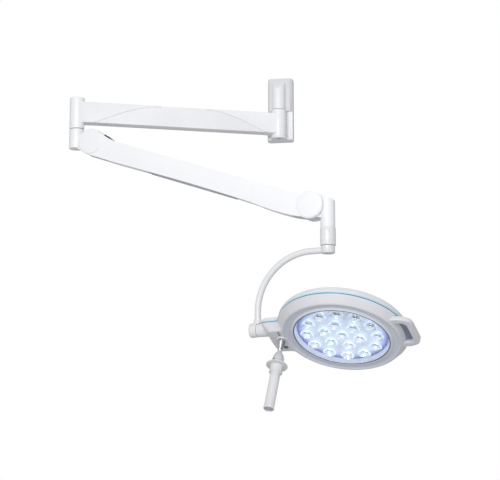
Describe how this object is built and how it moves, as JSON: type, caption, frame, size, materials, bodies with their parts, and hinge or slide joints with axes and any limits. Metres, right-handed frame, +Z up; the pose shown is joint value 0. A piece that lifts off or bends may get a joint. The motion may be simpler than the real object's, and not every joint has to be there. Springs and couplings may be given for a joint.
{
  "type": "wall-mounted surgical light",
  "caption": "Wall-mounted surgical light: swivelling extension arm, counterbalanced spring arm and a tilting round LED lamp head with a side grip and a detachable sterile handle.",
  "frame": {"origin": "on the wall plane, on the vertical centre line of the bracket, at the level of the top of the arm column's swivel gap region (bracket centre height)", "axes": "+Y into the wall, -Y out into the room, +Z up, +X to the right seen from the room"},
  "size_m": [1.317, 0.7971, 1.3479],
  "materials": {
    "painted_white": "satin",
    "painted_light_grey": "satin",
    "plastic_white": "satin",
    "plastic_light_grey": "satin",
    "plastic_slate": "satin",
    "trim_blue": "gloss",
    "lens_clear": "gloss",
    "steel": "satin",
    "chrome": "polished",
    "aluminium": "satin",
    "bush_plastic": "matte",
    "board_green": "matte",
    "button_dark": "satin"
  },
  "bodies": {
    "bracket": {"wall_plate": "painted_light_grey", "wall_screw_1": "steel", "wall_screw_2": "steel", "wall_screw_3": "steel", "wall_screw_4": "steel", "housing_upper": "plastic_white", "housing_lower": "plastic_white", "wall_shaft": "steel"},
    "extension_arm": {"extension_casting_wall": "painted_white", "extension_casting_elbow": "painted_white", "extension_cover": "plastic_white", "extension_tube": "aluminium", "wall_bush": "bush_plastic", "elbow_bush": "bush_plastic"},
    "elbow_knuckle": {"elbow_shaft": "steel", "elbow_knuckle": "painted_white", "elbow_brake_screw": "steel", "lift_pin": "steel"},
    "spring_arm": {"spring_arm_body": "painted_white", "spring_arm_strip": "plastic_slate", "cap_elbow_front": "plastic_white", "cap_elbow_back": "plastic_white", "cap_lamp_front": "plastic_white", "cap_lamp_back": "plastic_white", "spring_anchor": "steel", "spring_guide": "steel", "coil_spring": "steel"},
    "parallel_rod": {"parallel_rod": "steel"},
    "lamp_knuckle": {"lamp_knuckle": "painted_white", "lamp_pin": "steel", "lamp_sleeve": "painted_light_grey", "lamp_brake_screw": "steel", "lamp_bush": "bush_plastic"},
    "yoke": {"yoke_hub": "painted_light_grey", "yoke_bow": "painted_light_grey", "tilt_knuckle": "painted_light_grey", "tilt_brake_screw": "steel", "tilt_cap": "plastic_light_grey"},
    "lamp_head": {"tilt_boss": "painted_light_grey", "head_shell": "painted_light_grey", "trim_ring": "trim_blue", "head_cover": "plastic_light_grey", "bezel_ring": "plastic_slate", "lens_frame": "plastic_light_grey", "lens_cover": "lens_clear", "lens_array": "lens_clear", "led_board": "board_green", "heat_sink": "aluminium", "side_grip": "plastic_light_grey", "handle_adapter": "chrome"},
    "sterile_handle": {"handle_dome": "plastic_light_grey", "handle_flange": "plastic_light_grey", "handle_collar": "plastic_slate", "handle_grip": "plastic_light_grey", "handle_core": "steel"},
    "power_button": {"power_button": "button_dark"},
    "dim_up": {"dim_up": "button_dark"},
    "dim_down": {"dim_down": "button_dark"},
    "release_button": {"release_button": "button_dark"}
  },
  "joints": [
    {"name": "wall_swivel", "type": "hinge", "parent": "bracket", "child": "extension_arm", "pos_m": [0, -0.068, -0.06], "axis": [0, 0, 1], "range_deg": [-17.87, 152.13]},
    {"name": "elbow_swivel", "type": "hinge", "parent": "extension_arm", "child": "elbow_knuckle", "pos_m": [-0.71674, -0.37035, -0.1], "axis": [0, 0, 1], "range_deg": [-255.54, 14.46]},
    {"name": "arm_lift", "type": "hinge", "parent": "elbow_knuckle", "child": "spring_arm", "pos_m": [-0.64395, -0.38527, -0.1903], "axis": [0.2008, 0.9796, 0], "range_deg": [-54.61, 30.39]},
    {"name": "rod_swing", "type": "hinge", "parent": "elbow_knuckle", "child": "parallel_rod", "pos_m": [-0.64395, -0.38527, -0.2123], "axis": [0.2008, 0.9796, 0], "range_deg": [-54.61, 30.39]},
    {"name": "lamp_level", "type": "hinge", "parent": "spring_arm", "child": "lamp_knuckle", "pos_m": [0.19578, -0.55743, -0.49578], "axis": [0.2008, 0.9796, 0], "range_deg": [-30.39, 54.61]},
    {"name": "lamp_swivel", "type": "hinge", "parent": "lamp_knuckle", "child": "yoke", "pos_m": [0.2522, -0.569, -0.6], "axis": [0, 0, 1], "range_deg": [-165, 165]},
    {"name": "head_tilt", "type": "hinge", "parent": "yoke", "child": "lamp_head", "pos_m": [-0.00621, -0.50985, -0.92378], "axis": [0.9748, -0.2231, 0], "range_deg": [-63.89, 116.11]},
    {"name": "handle_twist", "type": "hinge", "parent": "lamp_head", "child": "sterile_handle", "pos_m": [0.08806, -0.56587, -0.96501], "axis": [0.0982, 0.429, 0.8979], "range_deg": [-90, 90]},
    {"name": "power_press", "type": "slide", "parent": "lamp_head", "child": "power_button", "axis": [0.0982, 0.429, 0.8979], "range_m": [0, 0.0015], "stiffness_N_per_m": 400, "springref_m": -0.0005},
    {"name": "dim_up_press", "type": "slide", "parent": "lamp_head", "child": "dim_up", "axis": [0.0982, 0.429, 0.8979], "range_m": [0, 0.0008], "stiffness_N_per_m": 400, "springref_m": -0.0005},
    {"name": "dim_down_press", "type": "slide", "parent": "lamp_head", "child": "dim_down", "axis": [0.0982, 0.429, 0.8979], "range_m": [0, 0.0008], "stiffness_N_per_m": 400, "springref_m": -0.0005},
    {"name": "release_press", "type": "slide", "parent": "sterile_handle", "child": "release_button", "axis": [0.5509, 0.728, -0.4081], "range_m": [0, 0.0015], "stiffness_N_per_m": 400, "springref_m": -0.0005}
  ],
  "couplings": [
    {"joint": "rod_swing", "follows": "arm_lift", "ratio": 1},
    {"joint": "lamp_level", "follows": "arm_lift", "ratio": -1}
  ]
}
